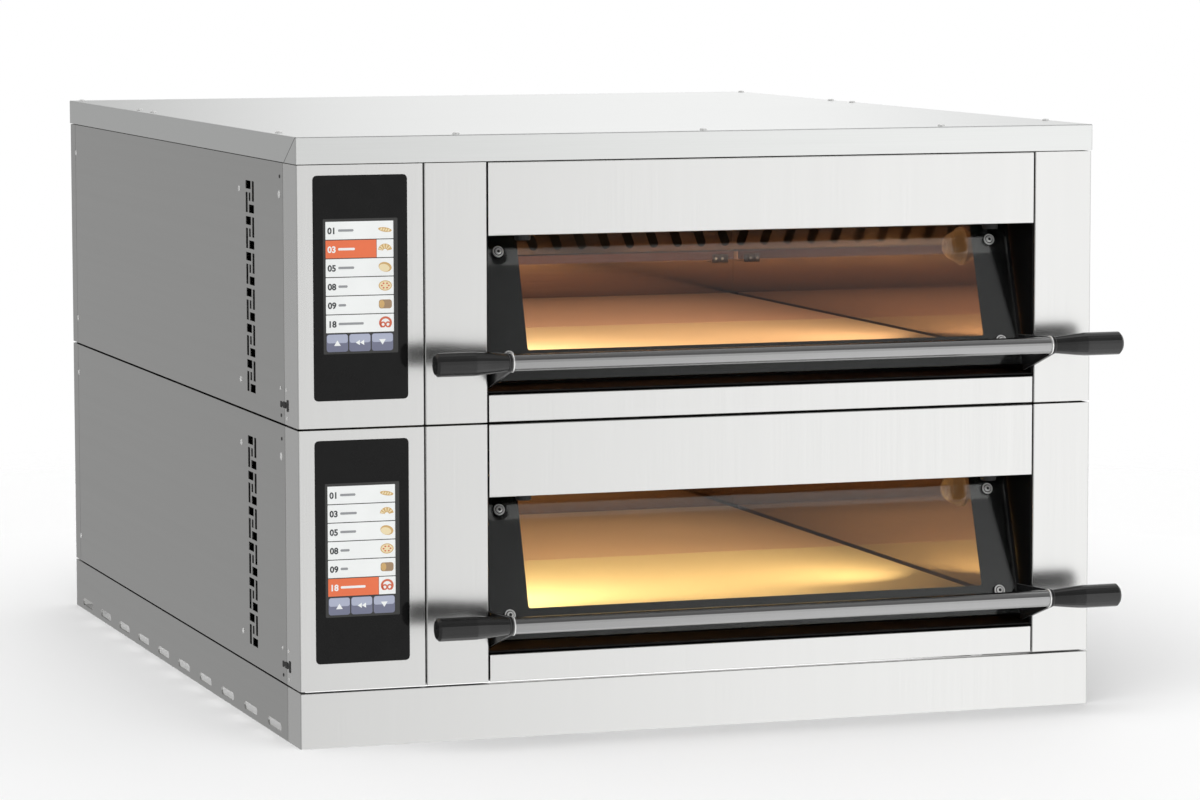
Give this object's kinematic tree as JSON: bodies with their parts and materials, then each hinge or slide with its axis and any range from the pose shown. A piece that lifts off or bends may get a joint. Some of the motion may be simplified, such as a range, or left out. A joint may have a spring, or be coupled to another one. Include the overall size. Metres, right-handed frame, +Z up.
{
  "type": "countertop pizza oven",
  "caption": "Electric deck pizza oven with stacked stone-floored chambers, top-hinged leaning glass doors, bar handles and touch controls, on a slotted plinth.",
  "frame": {"origin": "middle of the bottom of the whole oven, on the table", "axes": "+X to the right seen from the front, +Y from the doors to the rear, +Z up"},
  "size_m": [1.0104, 1.3439, 0.7154],
  "materials": {
    "front_steel": "vertical brushed grain, satin",
    "side_steel": "matt rolled sheet",
    "cover_steel": "satin rolled sheet",
    "chamber_steel": "bright, heat tinted",
    "tube_steel": "brushed round the tube",
    "black_enamel": "smooth black enamel",
    "touch_glass": "glossy black backed glass",
    "door_glass": "clear toughened glass with a black printed border",
    "grip_plastic": "glossy black moulding",
    "housing_plastic": "fine texture",
    "rubber": "matt",
    "refractory_stone": "cast refractory slab",
    "element_sheath": "oxidised sheath",
    "mineral_wool": "fibrous",
    "lamp_glass": "frosted lamp cover"
  },
  "bodies": {
    "cabinet": {"base_front": "front_steel", "base_frame": "side_steel", "top_cover": "cover_steel", "cable_gland": "housing_plastic", "lower_control_fascia": "front_steel", "lower_left_post": "front_steel", "lower_right_post": "front_steel", "lower_upper_fascia": "front_steel", "lower_lower_rail": "front_steel", "lower_touch_panel": "touch_glass", "lower_control_module": "housing_plastic", "lower_left_side": "side_steel", "lower_right_side": "side_steel", "lower_rear_panel": "side_steel", "lower_mouth_frame": "black_enamel", "lower_chamber_muffle": "chamber_steel", "lower_chamber_back": "chamber_steel", "lower_hearth_stone_front": "refractory_stone", "lower_hearth_stone_rear": "refractory_stone", "lower_insulation": "mineral_wool", "lower_chamber_lamp": "lamp_glass", "lower_top_element": "element_sheath", "lower_bottom_element": "element_sheath", "lower_buffer_left": "rubber", "lower_buffer_right": "rubber", "upper_control_fascia": "front_steel", "upper_left_post": "front_steel", "upper_right_post": "front_steel", "upper_upper_fascia": "front_steel", "upper_lower_rail": "front_steel", "upper_touch_panel": "touch_glass", "upper_control_module": "housing_plastic", "upper_left_side": "side_steel", "upper_right_side": "side_steel", "upper_rear_panel": "side_steel", "upper_mouth_frame": "black_enamel", "upper_chamber_muffle": "chamber_steel", "upper_chamber_back": "chamber_steel", "upper_hearth_stone_front": "refractory_stone", "upper_hearth_stone_rear": "refractory_stone", "upper_insulation": "mineral_wool", "upper_chamber_lamp": "lamp_glass", "upper_top_element": "element_sheath", "upper_bottom_element": "element_sheath", "upper_buffer_left": "rubber", "upper_buffer_right": "rubber"},
    "lower_door": {"lower_door_glass": "door_glass", "lower_door_frame": "black_enamel", "lower_bracket_left": "black_enamel", "lower_bracket_right": "black_enamel", "lower_handle_tube": "tube_steel", "lower_grip_left": "grip_plastic", "lower_grip_right": "grip_plastic"},
    "upper_door": {"upper_door_glass": "door_glass", "upper_door_frame": "black_enamel", "upper_bracket_left": "black_enamel", "upper_bracket_right": "black_enamel", "upper_handle_tube": "tube_steel", "upper_grip_left": "grip_plastic", "upper_grip_right": "grip_plastic"}
  },
  "joints": [
    {"name": "lower_door_hinge", "type": "hinge", "parent": "cabinet", "child": "lower_door", "pos_m": [0.07325, -0.53752, 0.3025], "axis": [-1, 0, 0], "range_deg": [0, 71.2]},
    {"name": "upper_door_hinge", "type": "hinge", "parent": "cabinet", "child": "upper_door", "pos_m": [0.07325, -0.53752, 0.6101], "axis": [-1, 0, 0], "range_deg": [0, 71.2]}
  ]
}
